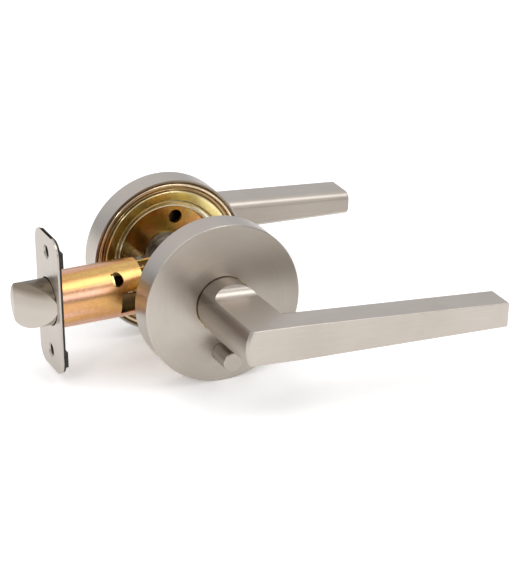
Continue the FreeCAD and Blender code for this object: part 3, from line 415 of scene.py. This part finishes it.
def ringed_zinc(name):
    """Chromate that changes hue from ring to ring of the pressing, with painted highlights and
    painted shade on the rings and painted shade on the sunken floor, and drifts across it.
    """
    recipe = Recipe(name)
    x, _, z = recipe.parts(recipe.place())
    radius = recipe.radius(x, z)
    drift = recipe.noise(recipe.place(scale=(55.0,) * 3), detail=3.0, distortion=0.5)
    waver = recipe.maths("MULTIPLY", recipe.maths("SUBTRACT", drift, 0.5), 0.05)
    shifted = recipe.maths("ADD", recipe.maths("DIVIDE", radius, RIM_RADIUS), waver)
    # ring hues mix chromate tint with painted highlights and painted shade
    rings = recipe.ramp(shifted, PLATE_RING_HUES_AND_SHEEN)
    # the sunken floor's patches are painted shade and reflection
    floor = recipe.ramp(drift, PLATE_FLOOR_PAINTED_SHADE)
    outside = recipe.maths("GREATER_THAN", radius, FLOOR_RADIUS)
    zinc_base(recipe, recipe.blend(outside, floor, rings), roughness=0.17)
    return recipe.material


def case_zinc(name, stops, bands):
    """Chromate on a tube along X, with painted shade making its inner face dark."""
    recipe = Recipe(name)
    colour = chromate(recipe, stops, bands)
    _, y, z = recipe.parts(recipe.place())
    # painted shade darkens the tube's inner face
    outer = recipe.maths("GREATER_THAN", recipe.radius(y, z), CASE_INNER)
    zinc_base(recipe, recipe.blend(outer, INNER_PAINTED_SHADE, colour), roughness=0.24)
    return recipe.material


def plain_metal(name, light, dark, roughness):
    """Bare metal, mottled between a light and a dark tone."""
    recipe = Recipe(name)
    speck = recipe.speck(COARSE_SPECK, detail=4.0, roughness=0.65)
    recipe.set(Base_Color=recipe.ramp(speck, [(0.3, dark), (0.7, light)]), Metallic=1.0,
               Roughness=recipe.between(speck, roughness - 0.06, roughness + 0.08),
               Normal=recipe.bump(speck, depth=0.00002, strength=0.5))
    return recipe.material


def black_oxide(name):
    """Blackened steel, half metallic and speckled."""
    recipe = Recipe(name)
    speck = recipe.speck(FINE_SPECK, detail=4.0, roughness=0.65)
    recipe.set(Base_Color=recipe.ramp(speck, BLACKS), Metallic=0.6,
               Roughness=recipe.between(speck, 0.32, 0.5),
               Normal=recipe.bump(speck, depth=0.00002, strength=0.5))
    return recipe.material


# ---------------------------------------------------------------- which piece wears what

def dress(material, *nodes):
    for name in nodes:
        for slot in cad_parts[name].material_slots:
            slot.material = material


def both(name):
    return "inside_" + name, "outside_" + name


def dress_all():
    """Gives every CAD node its finish."""
    # the roses' faces carry painted shade
    dress(turned_nickel("satin_nickel_turned", painted_shade=True), *both("rose"))
    # each lever's front is its far face from the door: low in Y inside, high in Y outside
    for lever, end in zip(both("lever"), (0, 1)):
        front = abs(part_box(lever)[end][1])
        dress(lever_nickel("satin_nickel_" + lever, front), lever)
    dress(turned_nickel("satin_nickel_pin"), "push_pin")
    dress(satin_nickel("satin_nickel_plate", "Z"), "latch_faceplate")
    dress(bolt_nickel("nickel_bolt"), "latch_bolt")
    dress(ringed_zinc("yellow_zinc_plate"), *both("mounting_plate"))
    dress(yellow_zinc("yellow_zinc_hub", CLOUDY_ZINC, (60.0,) * 3, 0.24),
          *both("drive_plate"), *both("hub_sleeve"))
    dress(case_zinc("yellow_zinc_case", WARM_ZINC, (12.0, 110.0, 110.0)), "latch_case")
    dress(yellow_zinc("yellow_zinc_inner", CLOUDY_ZINC, (90.0,) * 3, 0.3),
          "latch_rear_frame", "latch_spring_seat", "bolt_tail", "latch_cam", "lock_housing")
    dress(plain_metal("bright_zinc", (0.62, 0.60, 0.55), (0.40, 0.38, 0.34), 0.34),
          "spindle", "through_bolts", "mounting_posts", "locking_rod")
    dress(plain_metal("spring_steel", (0.40, 0.36, 0.30), (0.24, 0.21, 0.17), 0.36),
          *both("retaining_ring"), *both("return_spring"),
          "push_pin_clip", "push_pin_spring", "bolt_spring")
    dress(black_oxide("black_steel"), *both("set_screw"), "latch_backplate")


# ---------------------------------------------------------------- spring copies


def closing_spring(node, axis, end):
    """A copy of the node's own coil, attached to the root body and shown in place of the node."""
    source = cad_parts[node]
    coil = source.copy()
    coil.data = source.data.copy()
    coil.name = node + "_coil"
    bpy.context.scene.collection.objects.link(coil)
    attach(coil, "root")
    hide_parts(node)
    low, high = (Vector(corner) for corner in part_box(node))
    anchor = list((low + high) / 2.0)
    anchor[axis] = (low, high)[end][axis]
    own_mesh(coil)


# ---------------------------------------------------------------- the room

def add_floor(height):
    """A pale floor that glows a little, under the set's lowest point."""
    corners = [(x * FLOOR_HALF, y * FLOOR_HALF, height)
               for x, y in ((-1, -1), (1, -1), (1, 1), (-1, 1))]
    mesh = bpy.data.meshes.new("floor")
    mesh.from_pydata(corners, [], [(0, 1, 2, 3)])
    floor = bpy.data.objects.new("floor", mesh)
    bpy.context.scene.collection.objects.link(floor)
    recipe = Recipe("studio_floor")
    speck = recipe.speck(FLOOR_SPECK, detail=2.0)
    recipe.set(Base_Color=recipe.ramp(speck, FLOOR_SHADES), Roughness=0.9,
               Emission_Color=(*WHITE, 1.0), Emission_Strength=FLOOR_GLOW)
    mesh.materials.append(recipe.material)


def add_lamp(name, direction, width, height, power):
    """A soft rectangular lamp that faces the set's middle from the given direction."""
    light = bpy.data.lights.new(name, "AREA")
    light.shape = "RECTANGLE"
    light.size = width
    light.size_y = height
    light.energy = power
    lamp = bpy.data.objects.new(name, light)
    lamp.location = Vector(direction).normalized() * LAMP_DISTANCE
    lamp.rotation_mode = "QUATERNION"
    lamp.rotation_quaternion = lamp.location.to_track_quat("Z", "Y")
    bpy.context.scene.collection.objects.link(lamp)


def add_sky():
    """A grey studio all round, brighter overhead, with a cooler and brighter back."""
    world = bpy.data.worlds.new("studio")
    world.use_nodes = True
    tree = world.node_tree
    coords = tree.nodes.new("ShaderNodeTexCoord")
    split = tree.nodes.new("ShaderNodeSeparateXYZ")
    tree.links.new(coords.outputs["Generated"], split.inputs["Vector"])
    sides = tree.nodes.new("ShaderNodeMapRange")
    tree.links.new(split.outputs["Y"], sides.inputs["Value"])
    sides.inputs["From Min"].default_value = -SKY_CROSSING
    sides.inputs["From Max"].default_value = SKY_CROSSING
    mixed = tree.nodes.new("ShaderNodeMix")
    mixed.data_type = "RGBA"
    tree.links.new(sides.outputs["Result"], mixed.inputs["Factor"])
    for socket, stops in zip(colour_sockets(mixed.inputs), (FRONT_SKY, BACK_SKY)):
        band = tree.nodes.new("ShaderNodeValToRGB")
        tree.links.new(split.outputs["Z"], band.inputs["Fac"])
        fill_ramp(band, stops)
        tree.links.new(band.outputs["Color"], socket)
    background = tree.nodes["Background"]
    tree.links.new(colour_sockets(mixed.outputs)[0], background.inputs["Color"])
    background.inputs["Strength"].default_value = 1.0
    bpy.context.scene.world = world


def add_camera():
    """The camera that was fitted to the photo."""
    lens = bpy.data.cameras.new("camera")
    lens.lens = CAMERA_LENS
    lens.sensor_width = CAMERA_SENSOR
    lens.clip_start = CAMERA_NEAR
    lens.clip_end = CAMERA_FAR
    azimuth, elevation = CAMERA_AZIMUTH, CAMERA_ELEVATION
    back = Vector((math.sin(azimuth) * math.cos(elevation),
                   -math.cos(azimuth) * math.cos(elevation), math.sin(elevation)))
    right = Vector((math.cos(azimuth), math.sin(azimuth), 0.0))
    up = back.cross(right)
    cos_roll, sin_roll = math.cos(CAMERA_ROLL), math.sin(CAMERA_ROLL)
    axes = Matrix((right * cos_roll + up * sin_roll, up * cos_roll - right * sin_roll, back))
    camera = bpy.data.objects.new("camera", lens)
    camera.matrix_world = Matrix.Translation(CAMERA_PLACE) @ axes.transposed().to_4x4()
    bpy.context.scene.collection.objects.link(camera)
    bpy.context.scene.camera = camera


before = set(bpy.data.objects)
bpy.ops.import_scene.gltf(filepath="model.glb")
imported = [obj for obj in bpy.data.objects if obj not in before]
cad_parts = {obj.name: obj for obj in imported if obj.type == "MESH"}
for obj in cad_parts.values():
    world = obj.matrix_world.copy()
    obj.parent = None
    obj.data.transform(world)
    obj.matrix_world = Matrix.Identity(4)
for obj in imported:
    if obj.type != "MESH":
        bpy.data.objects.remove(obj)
cad_box = [list(corner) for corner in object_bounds()]

dress_all()
closing_spring("bolt_spring", axis=0, end=1)
closing_spring("push_pin_spring", axis=1, end=1)
add_floor(cad_box[0][2])
for name, (direction, width, height, power) in LAMPS.items():
    add_lamp(name, direction, width, height, power)
add_sky()
add_camera()
bpy.context.scene.view_settings.view_transform = "Standard"
